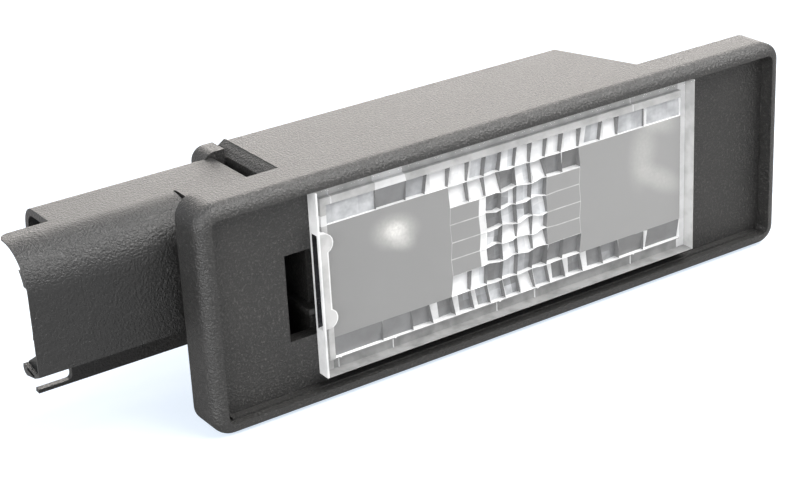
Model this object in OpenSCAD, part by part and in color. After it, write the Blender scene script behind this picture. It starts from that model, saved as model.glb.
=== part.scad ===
// Number plate lamp for a car: a black moulded bezel with a clear prismatic lens,
// a lamp box behind it and a plug shroud that hooks behind the car's panel.
// It is drawn face up (x along the lamp, y up the bezel, z towards the viewer,
// z = 0 at the bezel's lip) and then stood on the bezel's lower long edge.
// All sizes are in millimetres.

/* [Bezel] */
// Outside length of the bezel
bezel_l = 80.5; // [77:0.5:90]
// Outside height of the bezel
bezel_h = 26.4; // [26:0.1:30]
// Depth of the rim, from its lip to the seat on the car's panel
bezel_d = 5; // [4.4:0.1:5.6]
// Outer corner radius of the bezel
bezel_r = 2.4; // [2:0.1:4]
// How much thinner the rim is at its right end
end_thin = 0.4; // [0:0.05:0.6]
// Width of the rim, and the radius of its rounded front
rim_w = 1.55; // [1.2:0.05:1.8]
// Depth of the recess floor behind the lip
recess_d = 1.85; // [1.4:0.05:2.2]
// Thickness of the recess floor
panel_t = 1.6; // [1.2:0.1:2]

/* [Lamp box] */
// Depth of the whole lamp, from the lip to the back of the box
lamp_d = 19.5; // [18.6:0.1:24]
// Outside height of the box
box_h = 23.8; // [23.4:0.1:24.4]
// Left end of the box, measured from the lens centre
box_left = 26.05; // [25.8:0.05:26.6]
// Right end of the box at its back face, measured from the lens centre
box_right = 20.05; // [18:0.05:22]
// Right end of the box at the recess floor, measured from the lens centre
box_right_front = 25.7; // [25.4:0.05:27]
// Wall thickness of the box
wall = 1.2; // [0.9:0.1:1.4]
// Radius of the box's outer edges
box_edge_r = 0.8; // [0.3:0.1:1]

/* [Plug shroud] */
// How far the shroud stands out past the bezel's left end
shroud_out = 16.25; // [12:0.25:20]
// How much shorter the rear half of the shroud is than its front half, at the roof
shroud_step = 5.7; // [2:0.1:8]
// Gap between the bezel's seat and the shroud, for the car's panel
panel_gap = 1.3; // [0.8:0.1:1.8]
// How far the shroud's back wall stands in front of the back of the box
shroud_back = 1.1; // [0.9:0.1:1.6]
// Height of the shroud's roof above the bezel's lower edge
roof_h = 24.4; // [23.8:0.1:24.8]
// Height of the lower edge of the front wall above the bezel's lower edge
front_low = 10.8; // [9:0.1:12]
// Height of the lower edge of the back wall above the bezel's lower edge
back_low = 2.8; // [1.6:0.1:4]
// Wall thickness of the shroud
shroud_t = 0.8; // [0.6:0.1:1]
// Outer radius between the front wall and the roof
shroud_r = 4.7; // [3:0.1:5]

/* [Lens] */
// Length of the lens
lens_l = 52.6; // [52.4:0.1:54]
// Height of the lens
lens_h = 21.7; // [21.2:0.1:22]
// Gap between the lens and the upper lip
lens_gap = 0.2; // [0.15:0.05:0.4]
// Thickness of the lens plate behind its smooth front
plate_t = 1.25; // [1:0.05:1.4]
// Thickness of the skirt that reaches through the aperture
skirt_t = 0.6; // [0.5:0.05:0.8]
// Depth of the prisms behind the plate
prism_d = 1.1; // [0.6:0.05:1.3]
// Height of a row of prisms
row_h = 2.5; // [2.3:0.05:2.6]
// Centre of the prism field, measured from the lens centre
optic_x = -0.5; // [-1:0.1:0.5]

/* [Bulb] */
// Diameter of the glass bulb
bulb_dia = 10; // [9:0.1:10.4]
// Length of the glass from its wedge to its tip
bulb_l = 26.4; // [24:0.1:27]
// Gap between the bulb and the back wall of the box
bulb_room = 1.3; // [1.1:0.1:1.5]
// Thickness of the glass
glass_t = 0.7; // [0.5:0.05:0.9]
// Thickness of the wedge that the contacts grip
wedge_t = 2.4; // [2:0.1:2.6]
// Diameter of the beads along the wedge's edges
wedge_bead = 3; // [2.7:0.1:3.3]
// Diameter of the lead wires
lead_dia = 0.4; // [0.3:0.05:0.5]

/* [Contacts] */
// Width of a contact strip and its blade
strip_w = 2.8; // [2.2:0.1:3.2]
// Thickness of a contact strip
strip_t = 0.4; // [0.3:0.05:0.5]
// Thickness of the folded blade
blade_t = 0.8; // [0.7:0.05:1]
// Length of the blade in the plug shroud
blade_l = 13; // [9:0.5:15]
// Distance between the two blades
blade_pitch = 5; // [4.2:0.1:5.2]

/* [Hidden] */
$fn = 48;
// Running clearance between pieces that sit in one another
clear = 0.05;
// Overlap of two solids that are joined
weld = 0.2;

// Levels of the flat faces, as z of the face-up model
floor_z = -recess_d;
panel_z = -recess_d - panel_t;
seat_z = -bezel_d;
back_z = -lamp_d;
// Outlines of the bezel's opening
open_l = bezel_l - 2 * rim_w;
open_h = bezel_h - 2 * rim_w;
lip_r = bezel_r - rim_w;
mid_y = bezel_h / 2;
bezel_x1 = bezel_l / 2 - end_thin;
// Outline of the box
box_y0 = mid_y - box_h / 2;
box_y1 = mid_y + box_h / 2;
// Outline of the lens
lens_y1 = mid_y + open_h / 2 - lens_gap;
lens_y0 = lens_y1 - lens_h;
// Ledges on which the lens rests, left, right and above or below
ledge_l = 1.15;
ledge_r = 2.5;
ledge_v = 1.35;
skirt_x0 = -lens_l / 2 + ledge_l;
skirt_x1 = lens_l / 2 - ledge_r;
skirt_y0 = lens_y0 + ledge_v;
skirt_y1 = lens_y1 - ledge_v;
fit_gap = 0.15;
// Screwdriver pocket in the lens's left side: how far its middle line, its waist and its two
// round ends lie in, and the material before it, behind it on the ledge and behind its tips
pocket_r = 1.15;
pocket_in = 0.85;
pocket_waist = 1.3;
pocket_low = 1.2;
pocket_high = 2;
pocket_front = 0.45;
pocket_lip = 0.4;
pocket_skin = 0.1;
// Snap beads behind the recess floor
bead = 0.35;
bead_h = 0.7;
skirt_foot_z = panel_z - bead_h - 0.1;
// Shroud outline
shroud_x0 = -bezel_l / 2 - shroud_out;
divider_x = -box_left - 5.85;
// Extra thickness of the neck's roof, above the wall
neck_roof = 2.8;
shroud_z1 = seat_z - panel_gap;
shroud_z0 = back_z + shroud_back;
front_half = 6.2;
rear_r = 1.8;
// How far the rear half's end leans out towards its foot
rear_lean = 1.5;
// Flat roof beside the bezel, over the gap for the panel, and the slit across its left end
roof_x0 = -bezel_l / 2 + 3.5;
roof_t = 1.2;
slit_w = 0.3;
slit_d = 0.45;
slit_l = 3.2;
// Notch in the rear half's end, above a thin toe along its foot
toe_h = 0.45;
notch_x1 = shroud_x0 + 8.25;
notch_h = 5.6;
notch_r = 0.5;
// Curl along the foot of the front wall
curl_r = 0.75;
curl_in = 3.2;
curl_rise = 2.4;
curl_slit_w = 0.36;
curl_slit_d = 1.7;
// Rebate inside the mouth, which leaves a thin lip, and the stretch of the front wall without it
mouth_d = 0.6;
lip_t = 0.2;
key_y0 = 20.6;
key_y1 = 22.2;
tip_r = 1.2;
// Shoulder at the back between the neck and the box, and the slope and groove before it
shoulder_out = 4.3;
shoulder_d = 1.6;
shoulder_r = 1.6;
slope_out = 1.5;
slope_drop = 1.2;
slope_share = 0.45;
shoulder_drop = 0.05;
groove_w = 1;
groove_d = 2.2;
edge_drop = 0.05;
edge_out = 0.7;
edge_fall = 0.2;
// Service window beside the lens, and the closed pocket behind it
pocket_back = 0.8;
pocket_room = 0.5;
window_x0 = -lens_l / 2 - 3.3;
window_y0 = lens_y0 + 4.8;
window_y1 = lens_y0 + 14.9;
rib_out = 0.95;
rib_h = 0.65;
rib_y = lens_y0 + 7.15;
// Snap hook at the plain end
hook_room = 5.2;
hook_t = 1.2;
hook_w = 9;
hook_l = 8.2;
hook_out = 1.4;
hook_gusset = 1;
// Bulb
bulb_y = mid_y;
bulb_z = back_z + wall + bulb_room + bulb_dia / 2;
light_x = optic_x;
// Distance from the filament to the bulb's tip
tip_reach = 8.2;
tip_x = light_x + tip_reach;
base_x = tip_x - bulb_l;
wedge_w = bulb_dia - 0.8;
wedge_l = 6.6;
neck_l = 2.4;
// Contacts: the strip jogs over jog_l, lifts off the wedge by bow_lift and toe_lift, and
// grips it between grip_x and grip_x + grip_l, measured from the wedge's end
touch = 0.02;
contact_step = wedge_t / 2 + lead_dia + strip_t / 2 + touch;
jog_l = 2.4;
bow_lift = 0.5;
toe_lift = 0.7;
lead_in = 0.8;
grip_x = 2.6;
grip_l = 1;
toe_l = 2;
blade_taper = 1;
blade_nose = 0.15;
blade_tip = divider_x - blade_l;
pocket_z = bulb_z + contact_step + toe_lift + strip_t / 2 + pocket_room + pocket_back;
lead_y = blade_pitch / 2;

// Stands the face-up model on the bezel's lower edge, with the middle of its box at the origin
module stood() {
    translate([-(shroud_x0 + bezel_x1) / 2, -lamp_d / 2, 0]) rotate([90, 0, 0]) children();
}

// Slab of a drawing in the plane of the bezel, between two levels
module slab(z0, z1) {
    translate([0, 0, z0]) linear_extrude(z1 - z0) children();
}

// Bar of a section drawn as [height, level], between two places along the lamp
module along(x0, x1) {
    translate([x0, 0, 0]) rotate([90, 0, 90]) linear_extrude(x1 - x0) children();
}

// Bar of a plan drawn as [place along the lamp, level], between two heights
module up(y0, y1) {
    translate([0, y1, 0]) rotate([90, 0, 0]) linear_extrude(y1 - y0) children();
}

// Rectangle between two corners
module rect(a, b) {
    translate(a) square([b[0] - a[0], b[1] - a[1]]);
}

// Rectangle with one radius at all four corners
module round_rect(l, h, r) {
    square([l - 2 * r, h], center = true);
    square([l, h - 2 * r], center = true);
    for (sx = [-1, 1], sy = [-1, 1]) translate([sx * (l / 2 - r), sy * (h / 2 - r)]) circle(r);
}

// Rectangle between two corners, rounded at its upper corners by r_a on the low side of level
// and by r_b on the high side
module roof_section(a, b, r_a, r_b) {
    difference() {
        rect(a, b);
        translate([b[0] - r_a, a[1]]) square(r_a);
        translate([b[0] - r_b, b[1] - r_b]) square(r_b);
    }
    translate([b[0] - r_a, a[1] + r_a]) circle(r_a);
    translate([b[0] - r_b, b[1] - r_b]) circle(r_b);
}

// Section of the rim, outwards from its lip: flat sides and a front rounded by its own width
module rim_section() {
    translate([0, seat_z]) square([rim_w, bezel_d - rim_w]);
    intersection() {
        translate([0, -rim_w]) circle(rim_w);
        translate([0, -rim_w]) square(rim_w);
    }
}

// Rim of the bezel, trimmed to its thinner right end
module rim() {
    intersection() {
        full_rim();
        translate([-end_thin / 2, mid_y, 0]) slab(seat_z - 1, 1)
            round_rect(bezel_l - end_thin, bezel_h, bezel_r);
    }
}

// Rim carried round the rounded rectangle of the bezel at one width
module full_rim() {
    run_l = bezel_l - 2 * bezel_r;
    run_h = bezel_h - 2 * bezel_r;
    translate([0, mid_y, 0]) {
        for (turn = [0, 1]) rotate(180 * turn) {
            along(-run_l / 2, run_l / 2) translate([run_h / 2 + lip_r, 0]) rim_section();
            up(-run_h / 2, run_h / 2) translate([run_l / 2 + lip_r, 0]) rim_section();
        }
        for (sx = [0, 1], sy = [0, 1]) mirror([sx, 0, 0]) mirror([0, sy, 0])
            translate([run_l / 2, run_h / 2, 0]) rotate_extrude(angle = 90)
                translate([lip_r, 0]) rim_section();
    }
}

// Outer form of the lamp box, less an inset all round
module box_form(inset, z1) {
    slant = (box_right_front - box_right) / (back_z - panel_z);
    x_at_z1 = box_right_front + slant * (z1 - panel_z) - inset;
    x_at_back = box_right - inset - slant * inset;
    intersection() {
        up(box_y0 + inset, box_y1 - inset) polygon([
            [-box_left + inset, z1], [x_at_z1, z1],
            [x_at_back, back_z + inset], [-box_left + inset, back_z + inset]]);
        r = max(box_edge_r - inset, 0.1);
        along(-box_left, box_right_front + 2) translate([mid_y, (back_z + z1) / 2])
            round_back(box_h - 2 * inset, z1 - back_z - inset, r, inset);
    }
}

// Section of the box: square towards the bezel, rounded along its two back edges
module round_back(h, d, r, inset) {
    lift = inset / 2;
    translate([0, lift + r / 2]) square([h, d - r], center = true);
    translate([0, lift]) square([h - 2 * r, d], center = true);
    for (s = [-1, 1]) translate([s * (h / 2 - r), lift - d / 2 + r]) circle(r);
}

housing_black = [0.13, 0.13, 0.13];

module housing() {
    color(housing_black) stood() {
        difference() {
            union() {
                rim();
                translate([0, mid_y, 0]) slab(panel_z, floor_z)
                    round_rect(open_l + rim_w, open_h + rim_w, bezel_r - rim_w / 2);
                box_form(0, panel_z + weld);
                neck();
                snap_hook();
            }
            box_form(wall, panel_z);
            neck_hollow();
            aperture();
            junction_cut();
            contact_slots();
        }
        shroud();
        bulb_cradle();
        floor_step();
        pry_rib();
    }
}

// Part of the body between the box and the shroud, under the shroud's own roof
module neck() {
    along(divider_x, -box_left + weld)
        roof_section([back_low, shroud_z0], [roof_h, panel_z + weld], rear_r, box_edge_r);
    shoulder();
    flat_roof();
    // block that the slope beside the box is cut from
    slab(shroud_z0, panel_z + weld)
        rect([-box_left - slope_out - groove_w, mid_y], [-box_left + weld, box_y1 - edge_drop]);
}

// Roof that runs on flat to the bezel, squares off the shroud's rounded edge and bridges the
// gap for the panel
module flat_roof() {
    along(roof_x0, divider_x + weld) {
        difference() {
            rect([roof_h - shroud_r, shroud_z1 - shroud_r], [roof_h, shroud_z1]);
            shroud_cavity(shroud_t);
        }
        rect([roof_h - roof_t, shroud_z1 - weld], [roof_h, panel_z + weld]);
    }
}

// Raised shoulder at the back, rounded at its free end
module shoulder() {
    x0 = -box_left - shoulder_out;
    top = box_y1 - shoulder_drop;
    slab(back_z, shroud_z0 + shoulder_d) {
        rect([x0 + shoulder_r, mid_y], [-box_left + weld, top]);
        rect([x0, mid_y], [-box_left + weld, top - shoulder_r]);
        translate([x0 + shoulder_r, top - shoulder_r]) circle(shoulder_r);
    }
}

// Two hollows in the neck: a pocket behind the service window, and a way for the contacts
module neck_hollow() {
    low = max(back_low, box_y0) + wall;
    high = roof_h - wall - neck_roof;
    along(divider_x + wall, -box_left + wall + weld)
        rect([low, shroud_z0 + wall], [high, pocket_z - pocket_back]);
    along(divider_x + wall, -box_left) rect([low, pocket_z], [high, panel_z]);
}

// Aperture for the lens skirt, with the service window at its left
module aperture() {
    slab(skirt_foot_z - 2 * clear, 1)
        rect([skirt_x0 - fit_gap, skirt_y0 - fit_gap], [skirt_x1 + fit_gap, skirt_y1 + fit_gap]);
    slab(panel_z - clear, 1) rect([window_x0, window_y0], [skirt_x0, window_y1]);
}

// Slope that falls from the box, through the whole depth, and the deep groove at its foot, which
// runs from the shoulder to the bezel and ends at the rounded edge of the shroud's roof
module junction_cut() {
    groove_x1 = -box_left - slope_out;
    groove_x0 = groove_x1 - groove_w;
    foot_y = roof_h - groove_d;
    top_y = box_y1 + 1;
    slab(back_z - 1, seat_z) polygon([
        [groove_x1, top_y], [groove_x1, box_y1 - slope_drop],
        [-box_left - slope_out / 2, box_y1 - slope_drop * slope_share],
        [-box_left, box_y1 - edge_drop], [-box_left, top_y]]);
    slab(shroud_z0 + shoulder_d, seat_z) polygon([
        [groove_x0 - edge_out, top_y], [groove_x0 - edge_out, roof_h],
        [groove_x0 - edge_out / 2, roof_h - edge_fall], [groove_x0, roof_h - edge_out],
        [groove_x0, foot_y], [groove_x1 + weld, foot_y], [groove_x1 + weld, top_y]]);
}

// Slots in the dividing wall that hold the two contacts
module contact_slots() {
    for (s = [-1, 1]) translate([divider_x - 1, bulb_y + s * blade_pitch / 2 - strip_w / 2 - clear,
            bulb_z - blade_t / 2 - clear])
        cube([wall + 2, strip_w + 2 * clear, blade_t + 2 * clear]);
}

// Section of the plug shroud: front wall, roof and back wall in one turn
module shroud_section() {
    difference() {
        roof_section([back_low, shroud_z0], [roof_h, shroud_z1], rear_r, shroud_r);
        shroud_cavity(shroud_t);
        rect([back_low - 1, shroud_z0 + shroud_t], [front_low, shroud_z1 + 1]);
    }
    curl_section();
}

// Section of the space inside the shroud, for a wall thickness
module shroud_cavity(t) {
    roof_section([back_low - 5, shroud_z0 + t], [roof_h - t, shroud_z1 - t], rear_r - t, shroud_r - t);
}

// Curl at the foot of the front wall, with a slit inside
module curl_section() {
    nose = [front_low - 0.3, shroud_z1 - curl_in];
    difference() {
        union() {
            translate(nose) circle(curl_r);
            polygon([[front_low + curl_rise, shroud_z1 - shroud_t / 2],
                nose + curl_r * [sin(56), -cos(56)], nose - [curl_r, 0],
                [front_low - 0.65, shroud_z1 - 1.2], [front_low - 0.1, shroud_z1]]);
        }
        translate(nose + [0, weld]) rotate(12) square([curl_slit_w, curl_slit_d]);
    }
}

// Plug shroud: its rear half is shorter than its front half and ends on a slant, its front tip
// is rounded, and a rebate inside its mouth leaves a thin lip
module shroud() {
    split_z = shroud_z1 - front_half;
    difference() {
        along(shroud_x0, divider_x + weld) shroud_section();
        slab(shroud_z0 - 1, split_z) polygon([
            [shroud_x0 - 1, -1], [shroud_x0 + shroud_step - rear_lean, -1],
            [shroud_x0 + shroud_step - rear_lean, back_low], [shroud_x0 + shroud_step, roof_h],
            [shroud_x0 + shroud_step, roof_h + 1], [shroud_x0 - 1, roof_h + 1]]);
        up(front_low + 3, roof_h + 1) difference() {
            rect([shroud_x0 - 1, split_z - 1], [shroud_x0 + tip_r, split_z + tip_r]);
            translate([shroud_x0 + tip_r, split_z + tip_r]) circle(tip_r);
        }
        along(shroud_x0 - 1, shroud_x0 + mouth_d) difference() {
            shroud_cavity(lip_t);
            rect([key_y0, split_z - 1], [key_y1, shroud_z1]);
            rect([0, split_z - 1], [front_low + 0.1, shroud_z1]);
        }
        slab(shroud_z0 - 1, shroud_z0 + shroud_t + 1) translate([shroud_x0, back_low + toe_h + notch_h / 2])
            round_rect(2 * (notch_x1 - shroud_x0), notch_h, notch_r);
        // short slit across the roof, beside its flat part
        translate([roof_x0 - slit_w, roof_h - slit_d, shroud_z1 - shroud_r - 0.2])
            cube([slit_w, 1, slit_l]);
    }
}

// Two posts that hold the edges of the bulb's wedge
module bulb_cradle() {
    post_x0 = base_x + 0.4;
    post_l = wedge_l - 1.2;
    edge = wedge_w / 2;
    for (s = [-1, 1]) translate([0, bulb_y, 0]) mirror([0, s > 0 ? 0 : 1, 0])
        difference() {
            translate([post_x0, edge - 0.4, back_z + wall / 2])
                cube([post_l, 2.2, bulb_z + wedge_bead / 2 + 0.8 - back_z - wall / 2]);
            translate([post_x0 - 1, edge - 3, bulb_z - wedge_bead / 2 - clear])
                cube([post_l + 2, 3 + clear, wedge_bead + 2 * clear]);
        }
}

// Small step along the foot of the recess
module floor_step() {
    slab(floor_z - weld, -0.95)
        rect([-open_l / 2 + lip_r, rim_w - weld], [open_l / 2 - lip_r, rim_w + 0.25]);
}

// Rib in the pocket behind the service window, to pry the lens out against
module pry_rib() {
    slab(pocket_z - weld, floor_z - clear)
        rect([-box_left - rib_out, rib_y], [-box_left + weld, rib_y + rib_h]);
}

// Springy hook behind the right end of the bezel
module snap_hook() {
    hook_x = box_right_front + hook_room;
    blade_x = hook_x + hook_t;
    shoulder_z = seat_z - panel_gap - 0.1;
    up(mid_y - hook_w / 2, mid_y + hook_w / 2) polygon([
        [hook_x, panel_z + weld], [hook_x, seat_z - hook_l], [hook_x + hook_t * 0.75, seat_z - hook_l],
        [blade_x + hook_out, shoulder_z - 2.3], [blade_x + hook_out, shoulder_z],
        [blade_x, shoulder_z], [blade_x, panel_z + weld]]);
    // two gussets that carry the floor beside the hook
    for (s = [-1, 1]) translate([0, mid_y + s * (hook_w / 2 + 2), 0]) up(-hook_gusset / 2, hook_gusset / 2)
        polygon([[box_right_front - wall, panel_z + weld], [blade_x, panel_z + weld],
            [box_right_front - wall - 0.4, seat_z - 2.4]]);
}

// Edges of the prism cells, outwards from the centre of the field
cell_edges = [0, 2.15, 4.3, 6.6, 9.2, 12.3, 14.9, 18.8, 24.6];
// Number of cells each side in the inner field and in the central column
field_cells = 4;
core_cells = 2;
core_rows = 4;
// How far each cell runs into its neighbours
cell_lap = 0.04;

// Height of the prism above the plate at one corner of a cell that slopes both ways
function prism_height(slope_x, slope_y, fx, fy) =
    prism_d * (0.5 + 0.4 * slope_x * fx + 0.4 * slope_y * fy);

// One prism cell: a block on the back of the plate with a sloping face
module prism(x0, x1, y0, y1, slope_x, slope_y) {
    top = -plate_t + weld;
    low = [for (f = [[-0.5, -0.5], [0.5, -0.5], [0.5, 0.5], [-0.5, 0.5]])
        -plate_t - prism_height(slope_x, slope_y, f[0], f[1])];
    polyhedron(
        points = [[x0, y0, top], [x1, y0, top], [x1, y1, top], [x0, y1, top],
            [x0, y0, low[0]], [x1, y0, low[1]], [x1, y1, low[2]], [x0, y1, low[3]]],
        faces = [[3, 2, 1, 0], [4, 5, 6, 7], [0, 1, 5, 4], [1, 2, 6, 5], [2, 3, 7, 6], [3, 0, 4, 7]]);
}

// A row of prism cells, mirrored about the centre of the field
module prism_row(y0, y1, first, last, slope_y) {
    for (side = [-1, 1], i = [first : last - 1]) {
        near = optic_x + side * cell_edges[i];
        far = optic_x + side * cell_edges[i + 1];
        lean = side * (i % 2 == 0 ? 1 : -0.6);
        prism(min(near, far) - cell_lap, max(near, far) + cell_lap, y0 - cell_lap, y1 + cell_lap,
            lean, slope_y * (i % 3 == 1 ? -0.5 : 0.8));
    }
}

module lens() {
    band_top = lens_y1 - 1.4;
    band_low = lens_y0 + 2.05;
    core_y0 = band_low + 2 * row_h;
    core_y1 = band_top - 2 * row_h;
    core_h = (core_y1 - core_y0) / core_rows;
    cells = len(cell_edges) - 1;
    color([0.85, 0.88, 0.9, 0.45]) stood() {
        difference() {
            union() {
                lens_plate();
                lens_skirt();
            }
            lens_pocket();
        }
        prism_row(band_top - row_h, band_top, 0, cells, 1);
        prism_row(band_low, band_low + row_h, 0, cells, -1);
        prism_row(band_top - 2 * row_h, band_top - row_h, 0, field_cells, -0.7);
        prism_row(band_low + row_h, core_y0, 0, field_cells, 0.7);
        for (k = [0 : core_rows - 1]) {
            lean_y = k % 2 == 0 ? 0.9 : -0.9;
            prism_row(core_y0 + k * core_h, core_y0 + (k + 1) * core_h, 0, core_cells, lean_y);
            prism_row(core_y0 + k * core_h, core_y0 + (k + 1) * core_h, core_cells, field_cells, 0.3);
        }
    }
}

// Plate with a seat all round that rests on the recess floor
module lens_plate() {
    difference() {
        slab(floor_z, 0) rect([-lens_l / 2, lens_y0], [lens_l / 2, lens_y1]);
        slab(floor_z - 1, -plate_t)
            rect([skirt_x0 + skirt_t, skirt_y0 + skirt_t], [skirt_x1 - skirt_t, skirt_y1 - skirt_t]);
    }
}

// Skirt through the aperture, with snap beads that catch behind the recess floor
module lens_skirt() {
    slab(skirt_foot_z, floor_z + weld) difference() {
        rect([skirt_x0, skirt_y0], [skirt_x1, skirt_y1]);
        rect([skirt_x0 + skirt_t, skirt_y0 + skirt_t], [skirt_x1 - skirt_t, skirt_y1 - skirt_t]);
    }
    for (x = [-16, 0.5, 17]) {
        up_bead(x, skirt_y1, 1);
        up_bead(x, skirt_y0, -1);
    }
}

// One snap bead on the upper or lower skirt
module up_bead(x, y, side) {
    half = 2.6;
    top_z = panel_z - clear;
    along(x - half, x + half) polygon([
        [y - side * 0.1, top_z], [y + side * bead, top_z], [y - side * 0.1, top_z - bead_h]]);
}

// Pocket in the lens's left side for a screwdriver, wider at its two ends
module lens_pocket() {
    low = window_y0 + pocket_low + pocket_r;
    high = window_y1 + pocket_high - pocket_r;
    slab(pocket_skin - plate_t, -pocket_front) pocket_outline(low, high);
    slab(floor_z + pocket_lip, -pocket_front) intersection() {
        pocket_outline(low, high);
        rect([-lens_l / 2 - 1, low - pocket_r], [skirt_x0 - clear, high + pocket_r]);
    }
}

// Outline of the pocket, between the middles of its round ends
module pocket_outline(low, high) {
    for (y = [low, high]) translate([-lens_l / 2 + pocket_in, y]) circle(pocket_r);
    rect([-lens_l / 2 - 1, low - pocket_r], [-lens_l / 2 + pocket_in, high + pocket_r]);
    rect([-lens_l / 2 - 1, low], [-lens_l / 2 + pocket_waist, high]);
}

// Profile of the bulb along its axis: a round-ended glass tube that closes at the neck
module bulb_profile(inset) {
    r = bulb_dia / 2 - inset;
    start = base_x + wedge_l + inset;
    end_r = r * 0.9;
    translate([0, start + neck_l]) square([r, tip_x - inset - end_r - start - neck_l]);
    polygon([[0, start], [r * 0.55, start], [r, start + neck_l], [r, start + neck_l + 0.2],
        [0, start + neck_l + 0.2]]);
    translate([0, tip_x - inset - end_r]) intersection() {
        translate([r - end_r, 0]) circle(end_r);
        square([r, end_r]);
    }
    translate([0, tip_x - inset - end_r]) square([r - end_r, end_r]);
}

module turned(inset) {
    translate([0, bulb_y, bulb_z]) rotate([0, 90, 0]) rotate_extrude() bulb_profile(inset);
}

module bulb_glass() {
    color([0.92, 0.95, 0.97, 0.4]) stood() difference() {
        union() {
            turned(0);
            translate([base_x, bulb_y - wedge_w / 2, bulb_z - wedge_t / 2])
                cube([wedge_l + 1.2, wedge_w, wedge_t]);
            for (s = [-1, 1]) translate([base_x + 0.5, bulb_y + s * (wedge_w - wedge_bead) / 2, bulb_z])
                rotate([0, 90, 0]) cylinder(d = wedge_bead, h = wedge_l, $fn = 24);
        }
        turned(glass_t);
        lead_path(1, lead_dia / 2 + 0.02);
        lead_path(-1, lead_dia / 2 + 0.02);
    }
}

// Lead wire from its fold on the wedge, round the wedge's end, through the glass to the filament
module lead_path(side, r) {
    y = bulb_y + side * lead_y;
    face = side * (wedge_t / 2 + lead_dia / 2 + 0.01);
    under = base_x - lead_dia / 2 - 0.02;
    inside = base_x + wedge_l + neck_l + 0.5;
    tube([[base_x + wedge_l - 1.4, y, bulb_z - face], [under, y, bulb_z - face],
        [under, y, bulb_z], [inside, y, bulb_z],
        [light_x, bulb_y + side * filament_l / 2, bulb_z]], r, 10);
}

// Direction of a path at one of its points, halfway between its two legs
function leg(points, i) = (points[i + 1] - points[i]) / norm(points[i + 1] - points[i]);
function heading(points, i) =
    let (last = len(points) - 1,
        sum = (i > 0 ? leg(points, i - 1) : [0, 0, 0]) + (i < last ? leg(points, i) : [0, 0, 0]))
    sum / norm(sum);
// Ring of points round a path's point, square to its direction
function ring(p, t, r, n) =
    let (u = cross(t, [0, 1, 0]) / norm(cross(t, [0, 1, 0])), v = cross(t, u))
    [for (j = [0 : n - 1]) p + r * (cos(360 * j / n) * u + sin(360 * j / n) * v)];

// Skin over rings of n points each
module skin(rings, n) {
    last = len(rings) - 1;
    polyhedron(
        points = [for (r = rings) each r],
        faces = concat(
            [[for (j = [0 : n - 1]) j]],
            [for (k = [0 : last - 1], j = [0 : n - 1])
                let (a = k * n + j, b = k * n + (j + 1) % n) [b, a, a + n, b + n]],
            [[for (j = [n - 1 : -1 : 0]) last * n + j]]));
}

// Round wire of n sides along a path
module tube(points, r, n) {
    skin([for (i = [0 : len(points) - 1]) ring(points[i], heading(points, i), r, n)], n);
}

module lead_wire_front() {
    color([0.62, 0.6, 0.56]) stood() lead_path(-1, lead_dia / 2);
}

module lead_wire_rear() {
    color([0.62, 0.6, 0.56]) stood() lead_path(1, lead_dia / 2);
}

// Coiled filament between the two lead wires
filament_l = 5;
coil_r = 0.38;
coil_wire_r = 0.07;
coil_turns = 7;
coil_steps = 12;
coil_sides = 6;

// Centre line of the coil and its section frame at one step
function coil_angle(k) = 360 * k / coil_steps;
function coil_point(k) = [
    light_x + coil_r * cos(coil_angle(k)),
    bulb_y - filament_l / 2 + lead_dia / 2 + 0.12
        + (filament_l - lead_dia - 0.24) * k / (coil_turns * coil_steps),
    bulb_z + coil_r * sin(coil_angle(k))];
function coil_ring(k) = [for (j = [0 : coil_sides - 1])
    let (a = 360 * j / coil_sides)
    coil_point(k) + coil_wire_r * (cos(a) * [cos(coil_angle(k)), 0, sin(coil_angle(k))]
        + sin(a) * [0, 1, 0])];

module filament() {
    color([0.45, 0.44, 0.42]) stood()
        skin([for (k = [0 : coil_turns * coil_steps]) coil_ring(k)], coil_sides);
}

// Strip of sheet metal that follows [place along the lamp, level] points at one thickness
module strip(points, t, y0, y1) {
    up(y0, y1) polygon(concat([for (p = points) p + [0, t / 2]],
        [for (i = [len(points) - 1 : -1 : 0]) points[i] - [0, t / 2]]));
}

// Contact: folded blade in the shroud, strip through the dividing wall and a sprung bow on the wedge
module contact(side) {
    y = bulb_y + side * blade_pitch / 2;
    run_z = bulb_z - side * contact_step;
    bend_x = divider_x + wall + blade_t * 0.75;
    lift_z = run_z - side * bow_lift;
    grip_end = base_x + grip_x + grip_l;
    up(y - strip_w / 2, y + strip_w / 2) polygon([
        [blade_tip + blade_taper, bulb_z + blade_t / 2], [blade_tip, bulb_z + blade_nose],
        [blade_tip, bulb_z - blade_nose], [blade_tip + blade_taper, bulb_z - blade_t / 2],
        [bend_x, bulb_z - blade_t / 2], [bend_x, bulb_z + blade_t / 2]]);
    strip([[bend_x - weld, bulb_z], [bend_x, bulb_z], [bend_x + jog_l, lift_z],
        [base_x - lead_in, lift_z], [base_x + grip_x, run_z], [grip_end, run_z],
        [grip_end + toe_l, run_z - side * toe_lift]], strip_t, y - strip_w / 2, y + strip_w / 2);
}

module contact_front() {
    color([0.72, 0.71, 0.66]) stood() contact(-1);
}

module contact_rear() {
    color([0.72, 0.71, 0.66]) stood() contact(1);
}

housing();
lens();
bulb_glass();
filament();
lead_wire_front();
lead_wire_rear();
contact_front();
contact_rear();
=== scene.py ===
"""Number plate lamp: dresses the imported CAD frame, with its lens, plastic and light."""

import bmesh
import bpy
import numpy as np
from mathutils import Matrix, Vector


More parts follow.
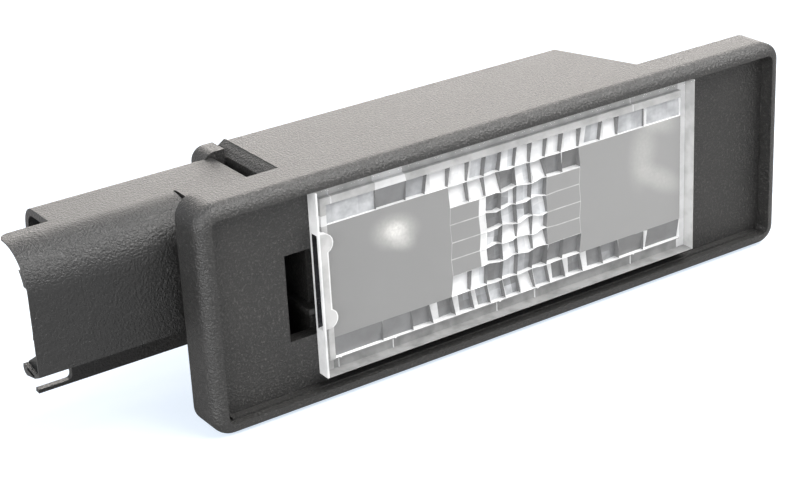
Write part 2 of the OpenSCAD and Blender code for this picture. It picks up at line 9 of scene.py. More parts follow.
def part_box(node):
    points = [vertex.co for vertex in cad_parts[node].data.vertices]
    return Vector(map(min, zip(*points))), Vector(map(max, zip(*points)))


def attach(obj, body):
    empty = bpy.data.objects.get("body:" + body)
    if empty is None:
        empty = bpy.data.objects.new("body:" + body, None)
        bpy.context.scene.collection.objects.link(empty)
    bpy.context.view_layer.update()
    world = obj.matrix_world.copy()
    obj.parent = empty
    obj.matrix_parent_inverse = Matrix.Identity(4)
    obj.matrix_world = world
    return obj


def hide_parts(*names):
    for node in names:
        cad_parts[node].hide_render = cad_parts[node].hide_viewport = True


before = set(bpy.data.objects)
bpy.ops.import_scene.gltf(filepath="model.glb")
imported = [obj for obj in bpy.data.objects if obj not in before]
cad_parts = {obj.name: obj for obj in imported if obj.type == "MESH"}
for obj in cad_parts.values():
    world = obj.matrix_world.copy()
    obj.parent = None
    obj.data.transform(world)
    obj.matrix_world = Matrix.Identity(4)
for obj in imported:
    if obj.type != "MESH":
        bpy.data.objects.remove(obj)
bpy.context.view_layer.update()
MM = 0.001
# Where the lens's front lies along Y, in metres, and its plate's thickness in millimetres
LENS_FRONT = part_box("lens")[0][1]
PLATE_T = 1.25


def new_material(name):
    """A node material with a Principled shader. Gives the material, its tree and the shader."""
    mat = bpy.data.materials.new(name)
    mat.use_nodes = True
    return mat, mat.node_tree, mat.node_tree.nodes["Principled BSDF"]


def object_noise(tree, scale, detail=2.0, rough=0.5):
    """Noise of a given scale per metre, read from Object coordinates."""
    coords = tree.nodes.new("ShaderNodeTexCoord")
    noise = tree.nodes.new("ShaderNodeTexNoise")
    noise.inputs["Scale"].default_value = scale
    noise.inputs["Detail"].default_value = detail
    noise.inputs["Roughness"].default_value = rough
    tree.links.new(coords.outputs["Object"], noise.inputs["Vector"])
    return noise.outputs["Fac"]


def object_spot(tree, place, size, turn):
    """Soft round spot on Object coordinates: 1 at its place and 0 at its rim, where size gives
    its half axes and turn its angle in the plane of the lens."""
    coords = tree.nodes.new("ShaderNodeTexCoord")
    mapping = tree.nodes.new("ShaderNodeMapping")
    mapping.vector_type = "TEXTURE"
    mapping.inputs["Location"].default_value = place
    mapping.inputs["Rotation"].default_value = (0, turn, 0)
    mapping.inputs["Scale"].default_value = size
    spot = tree.nodes.new("ShaderNodeTexGradient")
    spot.gradient_type = "SPHERICAL"
    tree.links.new(coords.outputs["Object"], mapping.inputs["Vector"])
    tree.links.new(mapping.outputs["Vector"], spot.inputs["Vector"])
    return spot.outputs["Fac"]


def calculate(tree, operation, *values):
    """Result of a Math node on sockets and numbers."""
    node = tree.nodes.new("ShaderNodeMath")
    node.operation = operation
    for socket, value in zip(node.inputs, values):
        if isinstance(value, (int, float)):
            socket.default_value = value
        else:
            tree.links.new(value, socket)
    return node.outputs[0]


def share_along(tree, gain, offset):
    """Share that grows along the lamp: X of the Object coordinates, in metres, times a gain,
    plus an offset, held between 0 and 1."""
    coords = tree.nodes.new("ShaderNodeTexCoord")
    split = tree.nodes.new("ShaderNodeSeparateXYZ")
    tree.links.new(coords.outputs["Object"], split.inputs[0])
    share = calculate(tree, "MULTIPLY_ADD", split.outputs["X"], gain, offset)
    share = calculate(tree, "MAXIMUM", share, 0.0)
    return calculate(tree, "MINIMUM", share, 1.0)


def mix_colour(tree, factor, first, second):
    """Colour that goes from the first to the second with a factor."""
    node = tree.nodes.new("ShaderNodeMix")
    node.data_type = "RGBA"
    tree.links.new(factor, node.inputs["Factor"])
    for socket, value in ((node.inputs[6], first), (node.inputs[7], second)):
        if isinstance(value, tuple):
            socket.default_value = (*value, 1)
        else:
            tree.links.new(value, socket)
    return node.outputs[2]


def ramp(tree, source, stops):
    """Colour ramp from a value: stops are (place, colour)."""
    node = tree.nodes.new("ShaderNodeValToRGB")
    elements = node.color_ramp.elements
    while len(elements) < len(stops):
        elements.new(0.5)
    for element, (place, colour) in zip(elements, stops):
        element.position = place
        element.color = (*colour, 1)
    tree.links.new(source, node.inputs["Fac"])
    return node.outputs["Color"]


def bump(tree, height, strength, distance, below=None):
    """Bump from a height, its distance in metres, on top of an earlier bump if there is one."""
    node = tree.nodes.new("ShaderNodeBump")
    node.inputs["Strength"].default_value = strength
    node.inputs["Distance"].default_value = distance
    tree.links.new(height, node.inputs["Height"])
    if below is not None:
        tree.links.new(below, node.inputs["Normal"])
    return node.outputs["Normal"]


def black_plastic():
    """Moulded black plastic with a coarse spark-eroded grain whose peaks are paler, a little
    uneven in colour. The shroud's skin is painted a little darker than the bezel's, as painted
    shade."""
    mat, tree, shader = new_material("black_plastic")
    grain = object_noise(tree, scale=3900, detail=2.5, rough=0.65)
    fine = object_noise(tree, scale=9000, detail=1)
    cloud = object_noise(tree, scale=160, detail=3)
    dark, pale = (0.012, 0.0117, 0.0112), (0.0195, 0.0188, 0.0177)
    base = ramp(tree, cloud, [(0.3, dark), (0.75, pale)])
    peaks = ramp(tree, grain, [(0.54, (0, 0, 0)), (0.72, (1, 1, 1))])
    # The shroud's colour is painted shade, darker than the bezel's plastic
    peak_colour, shroud_painted_shade = (0.08, 0.078, 0.074), (0.006, 0.006, 0.006)
    speckled = mix_colour(tree, peaks, base, peak_colour)
    # Painted shade: along the lamp the plastic goes over to the shroud's darker colour
    bezel = share_along(tree, gain=90, offset=3.5)
    colour = mix_colour(tree, bezel, shroud_painted_shade, speckled)
    tree.links.new(colour, shader.inputs["Base Color"])
    shader.inputs["Roughness"].default_value = 0.44
    shader.inputs["Specular IOR Level"].default_value = 0.85
    coarse = bump(tree, grain, strength=1.0, distance=0.00017)
    skin = bump(tree, fine, strength=0.5, distance=0.00003, below=coarse)
    tree.links.new(skin, shader.inputs["Normal"])
    return mat


def mottled(name, colour, rough, dark_share, scale, detail):
    """A plain finish whose colour varies a little with noise, down to a share of itself. Gives
    the material, its tree, the shader and the noise."""
    mat, tree, shader = new_material(name)
    noise = object_noise(tree, scale, detail)
    low = tuple(dark_share * c for c in colour)
    tree.links.new(ramp(tree, noise, [(0.3, low), (0.7, colour)]), shader.inputs["Base Color"])
    shader.inputs["Roughness"].default_value = rough
    return mat, tree, shader, noise


def metal(name, colour, rough):
    """Drawn or rolled metal, faintly mottled."""
    mat, tree, shader, mottle = mottled(name, colour, rough, dark_share=0.82, scale=900, detail=3)
    shader.inputs["Metallic"].default_value = 1.0
    tree.links.new(bump(tree, mottle, strength=0.15, distance=0.00002), shader.inputs["Normal"])
    return mat


def clear_glass(name, colour, alpha, rough):
    """Clear glass or plastic that shows what is behind it."""
    mat, _, shader, _ = mottled(name, colour, rough, dark_share=0.93, scale=700, detail=2)
    shader.inputs["Alpha"].default_value = alpha
    return mat


# Painted highlights: soft patches of light, painted on the back of the lens where the bulb's glass
# and the box throw light: place along and up the lamp and half axes, in millimetres, turn in
# radians, and strength
PAINTED_PATCHES = [
    (-7.6, 17.0, 3.9, 2.6, 0.2, 0.36),
    (-7.5, 17.1, 2.1, 1.4, 0.2, 0.36),
    (-6.7, 15.5, 2.4, 1.4, 0.4, 0.2),
    (30.2, 13.0, 5.4, 2.0, 0.53, 0.2),
    (29.4, 20.9, 5.0, 2.2, 0.55, 0.24),
    (27.6, 16.8, 2.8, 5.6, 0.1, 0.17)]
# Half depth of each patch in millimetres, how much the grain speckles its light, and what is
# left of it where the grain is lowest
PATCH_DEPTH = 2
SPECKLE, SPECKLE_LOW = 0.9, 0.55


def painted_patch_light(tree, grain):
    """How much painted light from the patches each place has: each spot s is softened to the square
    of s (2 - s), times its strength, and the sum of all is speckled by the grain."""
    light = 0.0
    for along, up, half_along, half_up, turn, strength in PAINTED_PATCHES:
        place = (along * MM, LENS_FRONT + PLATE_T * MM, up * MM)
        size = (half_along * MM, PATCH_DEPTH * MM, half_up * MM)
        spot = object_spot(tree, place, size, turn)
        soft = calculate(tree, "MULTIPLY", spot, calculate(tree, "SUBTRACT", 2.0, spot))
        soft = calculate(tree, "MULTIPLY", soft, soft)
        light = calculate(tree, "MULTIPLY_ADD", soft, strength, light)
    speckle = calculate(tree, "MULTIPLY_ADD", grain, SPECKLE, SPECKLE_LOW)
    return calculate(tree, "MULTIPLY", light, speckle)


def window_back():
    """Frosted back of the lens, fine-grained, with painted light: paler to the right, and soft
    patches of painted highlight.
    """
    mat, tree, shader = new_material("frosted_plastic_painted_light")
    cloud = object_noise(tree, scale=90)
    dark, pale = (0.24, 0.24, 0.238), (0.26, 0.26, 0.258)
    left_colour = ramp(tree, cloud, [(0.25, dark), (0.8, pale)])
    right_painted_light, painted_patch_colour = (0.294, 0.294, 0.291), (0.95, 0.94, 0.9)
    # Painted light: the frosted back is made paler towards the right
    to_right = share_along(tree, gain=22, offset=0.3)
    colour = mix_colour(tree, to_right, left_colour, right_painted_light)
    grain = object_noise(tree, scale=2600)
    # Painted highlights: the soft patches of light mixed into the colour
    colour = mix_colour(tree, painted_patch_light(tree, grain), colour, painted_patch_colour)
    tree.links.new(colour, shader.inputs["Base Color"])
    shader.inputs["Roughness"].default_value = 0.4
    tree.links.new(bump(tree, grain, strength=0.12, distance=0.00005), shader.inputs["Normal"])
    return mat


def prism_back():
    """Polished prisms: how bright each face is, painted light that comes with its tilt, is read from
    the mesh, and streaks of noise shift it a little either way."""
    mat, tree, shader = new_material("prism_painted_light")
    tone = tree.nodes.new("ShaderNodeAttribute")
    tone.attribute_name = "lean"
    noise = object_noise(tree, scale=420, detail=3, rough=0.6)
    streaks = 0.32
    shift = calculate(tree, "MULTIPLY_ADD", noise, streaks, -streaks / 2)
    level = calculate(tree, "ADD", shift, tone.outputs["Fac"])
    # Painted light: each face's colour from dark to bright by the tone of its tilt
    colour = ramp(tree, level, [
        (0.12, (0.13, 0.13, 0.13)),
        (0.36, (0.2, 0.204, 0.21)),
        (0.48, (0.38, 0.39, 0.405)),
        (0.6, (0.7, 0.715, 0.735)),
        (0.74, (0.94, 0.945, 0.95))])
    tree.links.new(colour, shader.inputs["Base Color"])
    shader.inputs["Roughness"].default_value = 0.12
    shader.inputs["Specular IOR Level"].default_value = 0.8
    return mat


def lens_edges(name, low, high, alpha):
    """Polished steps, cut edges and margins of the lens, a little streaked. The bright finish made
    with it is painted highlight, the darkest painted shade.
    """
    mat, tree, shader = new_material(name)
    streak = object_noise(tree, scale=500, detail=3)
    tree.links.new(ramp(tree, streak, [(0.32, low), (0.6, high)]), shader.inputs["Base Color"])
    shader.inputs["Roughness"].default_value = 0.2
    shader.inputs["Alpha"].default_value = alpha
    return mat


MATERIALS = {
    "black": black_plastic(),
    "glass": clear_glass("bulb_glass", (0.95, 0.97, 0.98), alpha=0.25, rough=0.03),
    "tungsten": metal("tungsten", (0.35, 0.34, 0.33), rough=0.45),
    "wire": metal("lead_wire", (0.62, 0.58, 0.5), rough=0.35),
    "tinned": metal("tinned_metal", (0.72, 0.71, 0.68), rough=0.32),
    "clear": clear_glass("clear_plastic", (0.93, 0.95, 0.97), alpha=0.05, rough=0.04),
    "window": window_back(),
    "prism": prism_back(),
    # Painted highlight: the bright finish of lit edges, bevels, flanks and lines
    "edge": lens_edges("painted_highlight_plastic", (0.78, 0.785, 0.79), (0.94, 0.943, 0.945), alpha=0.92),
    "ledge": lens_edges("milky_plastic", (0.21, 0.21, 0.208), (0.32, 0.32, 0.317), alpha=1.0),
    "haze": lens_edges("hazy_plastic", (0.5, 0.5, 0.495), (0.68, 0.68, 0.675), alpha=0.85),
    # Painted shade: the dark finish on the pocket's inner wall
    "shade": lens_edges("painted_shade_plastic", (0.006, 0.006, 0.008), (0.02, 0.02, 0.024), alpha=1.0),
}
NODE_FINISH = {
    "housing": "black", "bulb_glass": "glass", "filament": "tungsten", "lead_wire_front": "wire",
    "lead_wire_rear": "wire", "contact_front": "tinned", "contact_rear": "tinned"}
for node_name, finish in NODE_FINISH.items():
    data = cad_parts[node_name].data
    data.materials.clear()
    data.materials.append(MATERIALS[finish])


# The lens: a smooth front, and behind it a back of prisms, ledge and skirt. Places on it are
# in millimetres: u along it from its left end, v up it from its foot, d behind its front

# The ledge's thickness, and its width at the left, at the right, and above and below
LEDGE_T = 1.8
LEDGE_L, LEDGE_R, LEDGE_V = 1.15, 1.2, 1.35
# A grid line down the ledge's right end, from where that ledge starts
LEDGE_LINE = 0.7
# The skirt's thickness, the place of its right wall from the lens's right end, and how far its
# root is sunk in the ledge
SKIRT_T, SKIRT_R = 0.6, 2.5
SKIRT_SINK = 0.05
# Widths of a prism's bevel, of a step in the back and of the chamfer round the front, the
# distance within which two grid places are one, and that within which two points are merged
BEVEL = 0.06
STEP = 0.02
CHAMFER = 0.13
NEAR = 1e-3
MERGE = 0.003
# The field of prisms: its left end and its middle line, the edges of its columns to either
# side of that line, those of its rows, and the two columns at whose edges the wings end
FIELD_L, FIELD_X = 1.84, 26.9
HALF_COLUMNS = np.array([2.15, 4.3, 6.6, 9.2, 12.3, 14.9, 18.8])
ROW_EDGES = np.array([1.45, 3.95, 6.4, 8.45, 10.45, 12.65, 14.7, 17.2, 19.5])
WINGS = (4, 12)
# One letter for each prism, from the foot up: u leans up, h half as much, f lies flat, d and k
# lean down. A dot is a plain window, a dash a plain wing, and r a wing that ends on a low rise
LEANS = np.array([list(row) for row in (
    "dddkdfffhfdkddkk", "....hhdffkdd....", "....-rdhhu--....", "....-rfuuh--....",
    "....-rdffh--....", "....-rdfff--....", "....huukhudk....", "fdfuhffhhhhhfuff")])
SLOPES = {"u": 0.27, "h": 0.12, "f": 0.0, "d": -0.14, "k": -0.19}
# Share of each prism's width, in tenths, that its left flank takes, the share at which the
# grid line of the foot lies where there is no flank, and that line's place before it is moved
FLANKS = np.array([list(row) for row in (
    "0014442222444001", "0000021101210000", "0000060110000000", "0000060110000000",
    "0000060110000000", "0000060110000000", "0000021112120000", "0003332222334301")], float) / 10
LEAST_FLANK = 0.01
FOOT_LINE = 1.5 * BEVEL
# How far a prism rises, how much its corners are twisted, and how much it leans to a side. A
# prism wider than WIDE is low and nearly plain. A flank starts higher, and a wing ends low
WIDE = 3.5
RISE, WIDE_RISE = 0.6, 0.24
TWIST, WIDE_TWIST = 0.11, 0.02
SIDE_LEAN = 0.16
FLANK_RISE, WING_RISE = 0.75, 0.12
# How far each row edge swings sideways, and how far from the middle line and over what
# distance that fades
SWINGS = [0.3, -0.2, 0.08, -0.08, 0.1, -0.08, 0.06, -0.16, 0.24]
SWING_REACH, SWING_FADE = 17.5, 5
# The waves of the rows: their height, radians for a millimetre along and up, and their fading
WAVE = 0.22
WAVE_ALONG, WAVE_UP = 1.7, 2.1
WAVE_REACH, WAVE_FADE = 5, 1.2
# Fine moulding lines across the lower and the upper band of the ledge, painted as highlights, and
# the place of a painted highlight where the ledge's left end catches the light
LINES_LOW = np.array([2.5, 9.7, 24.1, 29.6, 44.1])
LINES_HIGH = np.array([2.5, 44.1])
LINE_HALF, LINE_DEPTH = 0.07, 0.12
CATCH_V, CATCH_HALF = 17.6, 0.6
# Screwdriver pocket in the left end: the middles of its two round ends, their radius, how many
# grid lines cross each, how far in they and the waist between them lie, the three depths
# behind the front where it starts, narrows and ends, its bright rim, and what it leaves of the
# ledge's width behind the second depth
POCKET_ENDS = np.array([6.75, 15.55])
POCKET_R = 1.15
POCKET_LINES = 9
POCKET_MID, POCKET_WAIST = 0.85, 1.3
POCKET_D0, POCKET_D1, POCKET_D2 = 0.45, 1.15, 1.45
POCKET_RIM = 0.12
POCKET_REST = 0.05
FINISHES = ["clear", "window", "prism", "edge", "ledge", "haze", "shade"]
CLEAR, WINDOW, PRISM, EDGE, LEDGE, HAZE, SHADE = range(7)
# Finishes of the left side, from the front round the pocket to the back: the edge finish is painted
# highlight, and the shade finish on the pocket's inner wall painted shade
SIDE_KINDS = np.array([EDGE, HAZE, EDGE, EDGE, CLEAR, EDGE, SHADE, EDGE])
# Painted light of the back's faces: tone of a flat face and of the darkest, and how much a lean up
# and a lean along add. A face stands edge on when twice its area from the front, in square
# millimetres, is under EDGE_ON
FLAT_TONE, DARK_TONE = 0.5, 0.08
TONE_UP, TONE_ALONG = 1.7, 0.85
EDGE_ON = 1e-6


def near(places, lines):
    """Whether places on the grid fall on lines."""
    return np.isclose(places, lines, atol=NEAR)


def pocket_reach(v):
    """How far the pocket goes in at a height: half a circle's chord at each round end, a
    straight waist between them, and nothing above and below."""
    chord = np.sqrt(np.clip(POCKET_R ** 2 - (v[:, None] - POCKET_ENDS) ** 2, 0, None))
    ends = np.where(chord > 0, POCKET_MID + chord, 0).max(axis=1)
    waist = np.where((v > POCKET_ENDS[0]) & (v < POCKET_ENDS[1]), POCKET_WAIST, 0)
    return np.maximum(ends, waist)


def lens_lines(length, height):
    """Grid lines of the lens. Along it: its ends and chamfers, the steps to the ledge, and for
    each prism its edges, bevels, the foot of its flank and two thirds of its width. Up it: the
    same rows, with the rounds of the pocket. Gives both as sorted arrays, and the columns'
    edges. Lines that fall together are one."""
    columns = np.concatenate([[FIELD_L], FIELD_X - HALF_COLUMNS[::-1], [FIELD_X],
                              FIELD_X + HALF_COLUMNS, [length - LEDGE_R]])
    lines = LINES_LOW[:, None] + LINE_HALF * np.array([-1, 0, 1])
    u = np.concatenate([
        [0, CHAMFER, LEDGE_L - STEP, LEDGE_L], columns, columns[:-1] + BEVEL,
        columns[:-1] + FOOT_LINE, (columns[:-1] + 2 * columns[1:]) / 3, columns[1:] - BEVEL,
        lines.ravel(), length - LEDGE_R + np.array([STEP, LEDGE_LINE]), [length - CHAMFER, length]])
    step_v = np.array([LEDGE_V - STEP, LEDGE_V])
    rounds = POCKET_R * np.cos(np.linspace(0, np.pi, POCKET_LINES))
    v = np.concatenate([
        [0, CHAMFER], step_v, ROW_EDGES, ROW_EDGES[:-1] + BEVEL, ROW_EDGES[1:] - BEVEL,
        (ROW_EDGES[1:] + ROW_EDGES[:-1]) / 2, (POCKET_ENDS[:, None] + rounds).ravel(),
        POCKET_ENDS + (POCKET_R + STEP) * np.array([-1, 1]),
        height - step_v, [height - CHAMFER, height]])
    return np.unique(u.round(4)), np.unique(v.round(4)), columns.round(4)


def prism_at(u, v, columns):
    """Row and column of the prism at each place, or of the nearest one outside the field."""
    row = np.clip(np.searchsorted(ROW_EDGES, v, "right") - 1, 0, len(LEANS) - 1)
    column = np.clip(np.searchsorted(columns, u, "right") - 1, 0, len(columns) - 2)
    return row, column


def prism_heights(u, v, columns):
    """Depth of the back, as a function on the grid: each prism is a plane that leans up or
    down and is twisted a little, its left flank falls to it from a higher edge, and a narrow
    bevel round it falls to the plate. Gives the places across as well, with each flank's foot
    moved to its share of the width."""
    u, v = u[None, :], v[:, None]
    row, column = prism_at(u, v, columns)
    left, right = columns[column], columns[column + 1]
    low, high = ROW_EDGES[row], ROW_EDGES[row + 1]
    letter, flank = LEANS[row, column], FLANKS[row, column]
    width = right - left
    foot = left + BEVEL + np.maximum(flank, LEAST_FLANK) * (width - 2 * BEVEL)
    place = np.where(near(u, left + FOOT_LINE), foot, u + 0 * v)

    across = (place - (left + right) / 2) / width
    up = (v - (low + high) / 2) / (high - low)
    slope = np.zeros(letter.shape)
    for key, value in SLOPES.items():
        slope[letter == key] = value
    narrow = width < WIDE
    twist = np.where(narrow, TWIST, WIDE_TWIST) * ((5 * column + 11 * row) % 7 - 3) / 3
    side = SIDE_LEAN * ((3 * column + 7 * row) % 5 - 2) / 2 * narrow
    rise = np.where(narrow, RISE, WIDE_RISE)
    plane = rise + slope * up * (high - low) + 4 * twist * up * across + side * across
    plane = np.where((place < foot - NEAR) & (flank > 0), FLANK_RISE, plane)
    plane = np.where(letter == "r", np.where(place > foot + NEAR, WING_RISE, 0), plane)
    plane = np.where((letter == ".") | (letter == "-"), 0, plane)

    on_edge = near(u, left) | near(u, columns[-1]) | near(v, low) | near(v, high)
    outside = (u < columns[0]) | (u > columns[-1]) | (v < ROW_EDGES[0]) | (v > ROW_EDGES[-1])
    plane = np.where(on_edge | outside, 0, plane)
    return place, PLATE_T + plane


def lens_back(u, v, columns, length, height):
    """The back of the lens on its grid: the prisms, the ledge outside them that rests on the
    bezel, and the fine moulding lines as grooves. Gives the places along it, up it and behind
    the front. The columns zigzag from row to row, less towards the ends, and near the middle
    line the rows wave, as the sine of a sum of both places, most at half the height."""
    place, depth = prism_heights(u, v, columns)
    u_in, v_in = np.meshgrid(u, v)
    half = STEP / 2
    ledge = ((u_in < LEDGE_L - half) | (u_in > length - LEDGE_R + half)
             | (v_in < LEDGE_V - half) | (v_in > height - LEDGE_V + half))
    over_seat = u_in > length - SKIRT_R - SKIRT_T
    depth = np.where(ledge, LEDGE_T, np.where(over_seat, np.minimum(depth, LEDGE_T), depth))
    low_line = near(u_in[..., None], LINES_LOW).any(-1) & (v_in < ROW_EDGES[0] - half)
    high_line = near(u_in[..., None], LINES_HIGH).any(-1) & (v_in > ROW_EDGES[-1])
    depth = np.where(low_line | high_line, depth - LINE_DEPTH, depth)

    from_middle = abs(u - FIELD_X)
    swing = np.interp(v, ROW_EDGES, SWINGS)
    swing[(v < ROW_EDGES[0]) | (v > ROW_EDGES[-1])] = 0
    swing_share = np.clip((SWING_REACH - from_middle) / SWING_FADE, 0, 1)
    span = np.clip((v - ROW_EDGES[0]) / np.ptp(ROW_EDGES), 0, 1)
    wave_share = np.clip((WAVE_REACH - from_middle) / WAVE_FADE, 0, 1)
    phase = WAVE_ALONG * u_in + WAVE_UP * v_in
    wave = WAVE * np.sin(np.pi * span)[:, None] * wave_share * np.sin(phase)
    return place + swing[:, None] * swing_share, v_in + wave, depth


def prism_kinds(u, v, columns):
    """Finish of the field's faces, from their middles: windows and wings are frosted, prisms
    have a painted highlight on their flanks and on a bevel at the left or the foot of most, and
    wings have hazy lines between their rows and at their ends."""
    row, column = prism_at(u, v, columns)
    letter = LEANS[row, column]
    wing = (letter == "-") | (letter == "r")
    plain = wing | (letter == ".")
    past_foot = u > columns[column] + FOOT_LINE
    wing_rise = (letter == "r") & past_foot
    flank = ~past_foot & (FLANKS[row, column] > 0)
    at_left = (u - columns[column] < BEVEL) & (column % 3 > 0)
    at_right = columns[-1] - u < BEVEL
    at_foot = v - ROW_EDGES[row] < BEVEL
    at_top = ROW_EDGES[row + 1] - v < BEVEL
    # Painted highlights on bevels and flanks that catch the light
    lit = at_left | at_right | (at_foot & ((3 * column + row) % 4 > 0)) | flank
    wing_end = (u < columns[WINGS[0]] + BEVEL) | (u > columns[WINGS[1]] - BEVEL)
    kinds = np.where(plain, WINDOW, PRISM)
    kinds = np.where(wing_rise | (lit & ~plain), EDGE, kinds)
    return np.where(wing & ~wing_rise & (at_foot | at_top | wing_end), HAZE, kinds)


def back_kinds(u, v, columns, length):
    """Finish of each face of the back, from where its middle lies on the grid: the field, the
    milky ledge below it, hazy margins at the left and above, a painted highlight along the margin at
    the right, two places painted with highlights where they catch the light, and moulding lines
    painted as highlights. It is clear behind the pocket."""
    u, v = (u[1:] + u[:-1])[None, :] / 2, (v[1:] + v[:-1])[:, None] / 2
    below, above, before = v < ROW_EDGES[0], v > ROW_EDGES[-1], u < FIELD_L
    kinds = np.where(below, LEDGE, prism_kinds(u, v, columns))
    kinds = np.where(above | before, HAZE, kinds)
    # Painted highlights at the right margin, the two catching places and the moulding lines
    kinds = np.where(u > length - LEDGE_R, EDGE, kinds)
    catch_above = above & (u > columns[1]) & (u < columns[2])
    catch_left = before & (abs(v - CATCH_V) < CATCH_HALF)
    low_line = below & (abs(u[..., None] - LINES_LOW).min(-1) < LINE_HALF)
    high_line = above & (abs(u[..., None] - LINES_HIGH).min(-1) < LINE_HALF)
    kinds = np.where(catch_above | catch_left | low_line | high_line, EDGE, kinds)
    by_pocket = abs(v - POCKET_ENDS.mean()) <= np.ptp(POCKET_ENDS) / 2 + POCKET_R
    return np.where((u < LEDGE_L - STEP) & by_pocket, CLEAR, kinds)


def points(u, d, v):
    """A surface's points, one to a row: along the lens, behind its front and up it."""
    return np.stack(np.broadcast_arrays(u, d, v), axis=-1).reshape(-1, 3)


def left_side(v):
    """The left side as a profile carried up the lens: from the front past the pocket's rim into
    the pocket, back along its inner wall, which steps out behind the second depth, out again,
    and on to the back. Gives how far in and how deep each of its points lies at each height."""
    reach = pocket_reach(v)
    nothing = 0 * reach
    rim = np.maximum(reach - POCKET_RIM, 0)
    inner = np.minimum(reach, LEDGE_L - POCKET_REST)
    depths = np.array([POCKET_D0] * 3 + [POCKET_D1] * 2 + [POCKET_D2] * 2)
    side_u = np.stack([nothing, rim, reach, reach, inner, inner, nothing])
    return side_u, depths[:, None] + nothing


def skirt_ring(length, height, skirt_d):
    """The skirt behind the plate: a rectangular section carried round the four corners of a
    rectangle, at each corner shifted inwards both ways by the section's own place. Gives its
    points, and a grid of their numbers that closes both ways."""
    inset = np.array([0, 0, SKIRT_T, SKIRT_T]) - 2 * STEP
    root_d = LEDGE_T - SKIRT_SINK
    depth = np.array([root_d, skirt_d, skirt_d, root_d])
    at_u, at_v = np.array([LEDGE_L, length - SKIRT_R]), np.array([LEDGE_V, height - LEDGE_V])
    turn_u, turn_v = np.array([0, 1, 1, 0]), np.array([0, 0, 1, 1])
    u = at_u[turn_u][:, None] + (1 - 2 * turn_u)[:, None] * inset
    v = at_v[turn_v][:, None] + (1 - 2 * turn_v)[:, None] * inset
    around = [0, 1, 2, 3, 0]
    return points(u, depth, v), np.arange(u.size).reshape(u.shape)[np.ix_(around, around)]


def quads(index):
    """Faces of a grid of vertex numbers: each cell's four corners in turn."""
    corners = [index[:-1, :-1], index[:-1, 1:], index[1:, 1:], index[1:, :-1]]
    return np.stack(corners, axis=-1).reshape(-1, 4)


def face_tones(places, faces):
    """Painted light: tone of each face, from how steeply it leans, up and along, standing in for how
    much light it sends forward. A lean is the normal's part up or along over its part towards the
    front."""
    corner = places[faces]
    normal = np.cross(corner[:, 2] - corner[:, 0], corner[:, 3] - corner[:, 1])
    facing = np.where(abs(normal[:, 1]) > EDGE_ON, normal[:, 1], 1)
    lean_up, lean_along = -normal[:, 2] / facing, -normal[:, 0] / facing
    return np.clip(FLAT_TONE + TONE_UP * lean_up + TONE_ALONG * lean_along, DARK_TONE, 1)


def new_object(name, data):
    """An object in the scene, from its mesh, lamp or camera data."""
    obj = bpy.data.objects.new(name, data)
    bpy.context.scene.collection.objects.link(obj)
    return obj


def lens_mesh(places, faces, kinds, tones):
    """The lens's mesh from points in metres and faces with a finish and a tone of painted light
    each. Doubles are merged and normals turned outwards."""
    mesh = bpy.data.meshes.new("lens_dressed")
    mesh.from_pydata(places.tolist(), [], faces)
    for finish in FINISHES:
        mesh.materials.append(MATERIALS[finish])
    mesh.polygons.foreach_set("material_index", kinds.astype(np.int32))
    # Each face's tone of painted light, from its tilt, is kept in the lean attribute
    lean = mesh.attributes.new("lean", "FLOAT", "FACE")
    lean.data.foreach_set("value", tones.astype(np.float32))
    work = bmesh.new()
    work.from_mesh(mesh)
    bmesh.ops.remove_doubles(work, verts=work.verts, dist=MERGE * MM)
    bmesh.ops.dissolve_degenerate(work, edges=work.edges, dist=MERGE * MM)
    bmesh.ops.recalc_face_normals(work, faces=work.faces)
    work.to_mesh(mesh)
    work.free()
    return mesh


def build_lens():
    """The lens as one closed skin: the front and the back on the same grid, the left side as a
    profile that dips into the pocket at each height, a plain strip on each other side, and the
    skirt. The last face at each left corner meets every point of the left side's profile."""
    low, high = (np.array(corner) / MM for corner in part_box("lens"))
    length, skirt_d, height = high - low
    u, v, columns = lens_lines(length, height)
    front_d = np.zeros((len(v), len(u)))
    front_d[[0, -1], :] = CHAMFER
    front_d[:, [0, -1]] = CHAMFER
    back_u, back_v, back_d = lens_back(u, v, columns, length, height)
    side_u, side_d = left_side(v)
    ring_places, ring = skirt_ring(length, height, skirt_d)
    places = np.concatenate([points(u, front_d, v[:, None]), points(back_u, back_d, back_v),
                             points(side_u, side_d, v), ring_places])

    front = np.arange(front_d.size).reshape(front_d.shape)
    back = front + front.size
    side = 2 * front.size + np.arange(side_u.size).reshape(side_u.shape)
    left = np.concatenate([front[None, :, 0], side, back[None, :, 0]])
    front_kinds = np.full((len(v) - 1, len(u) - 1), CLEAR)
    # Painted highlight along the front's foot and its two ends
    front_kinds[0, :] = EDGE
    front_kinds[:, [0, -1]] = EDGE
    blocks = [
        (front, front_kinds),
        (back, back_kinds(u, v, columns, length)),
        (left, SIDE_KINDS[:, None]),
        (np.stack([front[:, -1], back[:, -1]]), HAZE),
        (np.stack([front[0, 1:], back[0, 1:]]), LEDGE),
        (np.stack([front[-1, 1:], back[-1, 1:]]), CLEAR),
        (ring + len(places) - len(ring_places), CLEAR)]
    faces = np.concatenate([quads(index) for index, kind in blocks])
    kinds = np.concatenate([np.broadcast_to(kind, np.subtract(index.shape, 1)).ravel()
                            for index, kind in blocks])
    tones = face_tones(places, faces)
    corners = [np.append(left[:, end], [back[end, 1], front[end, 1]]).tolist() for end in (0, -1)]
    mesh = lens_mesh((places + low) * MM, faces.tolist() + corners,
                     np.append(kinds, [LEDGE, CLEAR]), np.append(tones, [FLAT_TONE, FLAT_TONE]))
    return new_object("lens_dressed", mesh)


lens = build_lens()
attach(lens, "root")
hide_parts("lens")


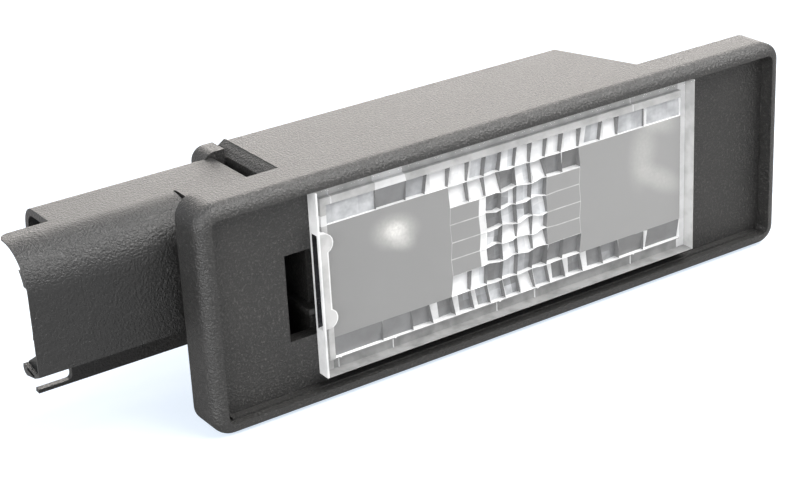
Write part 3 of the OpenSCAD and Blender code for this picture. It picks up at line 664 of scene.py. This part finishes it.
# The studio, in metres and watts: half the floor's side, the colours of the floor in its own
# light and to the camera, and the world's colour on the lamp
FLOOR_HALF = 4.0
FLOOR_COLOUR = (0.42, 0.42, 0.42)
FLOOR_GLOW, GLOW_STRENGTH = (0.66, 0.75, 0.86), 0.88
WORLD_COLOUR, WHITE = (0.38, 0.39, 0.41), (1, 1, 1)
# Each softbox's name, place, width and height, power and colour
SOFTBOXES = [
    ("back_softbox", (0.52, 0.79, 0.30), (1.0, 0.5), 8.0, (1, 0.95, 0.9)),
    ("top_softbox", (0.42, -0.32, 0.8), (0.8, 0.6), 14, (1, 0.985, 0.965)),
    ("left_softbox", (-0.85, -0.25, 0.36), (1.2, 0.6), 11.5, (1, 1, 1))]
# The camera, fitted to the lamp's straight edges in the photo: its place, the way it looks and
# the way that is down in its picture, its lens and sensor in millimetres, its shift and clip
CAMERA_PLACE = (-0.1147, -0.17255, 0.1025)
CAMERA_LOOK = Vector((0.502, 0.764, -0.406))
CAMERA_DOWN = Vector((-0.266, -0.310, -0.913))
CAMERA_LENS, CAMERA_SENSOR = 88.84, 36.0
CAMERA_SHIFT = (-0.0014, -0.0028)
CAMERA_CLIP = (0.01, 50)


def camera_ray(tree):
    """1 for what the camera sees directly, and 0 for other light."""
    return tree.nodes.new("ShaderNodeLightPath").outputs["Is Camera Ray"]


def floor_material():
    """Pale floor: white to the camera, and it keeps the lamp's shadow."""
    mat, tree, shader = new_material("pale_floor")
    shader.inputs["Base Color"].default_value = (*FLOOR_COLOUR, 1)
    shader.inputs["Roughness"].default_value = 0.9
    glow = tree.nodes.new("ShaderNodeEmission")
    glow.inputs["Color"].default_value = (*FLOOR_GLOW, 1)
    strength = calculate(tree, "MULTIPLY", camera_ray(tree), GLOW_STRENGTH)
    tree.links.new(strength, glow.inputs["Strength"])
    add = tree.nodes.new("ShaderNodeAddShader")
    tree.links.new(shader.outputs[0], add.inputs[0])
    tree.links.new(glow.outputs[0], add.inputs[1])
    tree.links.new(add.outputs[0], tree.nodes["Material Output"].inputs["Surface"])
    return mat


def add_floor():
    """The floor: one square under the lamp."""
    mesh = bpy.data.meshes.new("floor")
    corners = [(-1, -1), (1, -1), (1, 1), (-1, 1)]
    mesh.from_pydata([(FLOOR_HALF * x, FLOOR_HALF * y, 0) for x, y in corners], [], [(0, 1, 2, 3)])
    mesh.materials.append(floor_material())
    obj = new_object("floor", mesh)


def add_world():
    """Even pale light from all round, white where the camera sees it."""
    world = bpy.data.worlds.new("studio")
    bpy.context.scene.world = world
    world.use_nodes = True
    tree = world.node_tree
    back = tree.nodes["Background"]
    tree.links.new(mix_colour(tree, camera_ray(tree), WORLD_COLOUR, WHITE), back.inputs["Color"])
    back.inputs["Strength"].default_value = 1.0


def add_softbox(name, place, size, power, colour):
    """Rectangular lamp at a place, aimed at the frame's origin."""
    data = bpy.data.lights.new(name, "AREA")
    data.color = colour
    data.shape = "RECTANGLE"
    data.size, data.size_y = size
    data.energy = power
    obj = new_object(name, data)
    obj.location = place
    obj.rotation_euler = (-Vector(place)).to_track_quat("-Z", "Y").to_euler()


def add_camera():
    """The camera: it looks forward, with the picture's down made square to that."""
    data = bpy.data.cameras.new("camera")
    data.sensor_width, data.lens = CAMERA_SENSOR, CAMERA_LENS
    data.shift_x, data.shift_y = CAMERA_SHIFT
    data.clip_start, data.clip_end = CAMERA_CLIP
    obj = new_object("camera", data)
    forward = CAMERA_LOOK.normalized()
    down = (CAMERA_DOWN - CAMERA_DOWN.dot(forward) * forward).normalized()
    right = down.cross(forward)
    turn = Matrix((right, -down, -forward)).transposed()
    obj.matrix_world = Matrix.Translation(CAMERA_PLACE) @ turn.to_4x4()
    bpy.context.scene.camera = obj


add_floor()
add_world()
for softbox in SOFTBOXES:
    add_softbox(*softbox)
add_camera()
bpy.context.scene.view_settings.view_transform = "Standard"
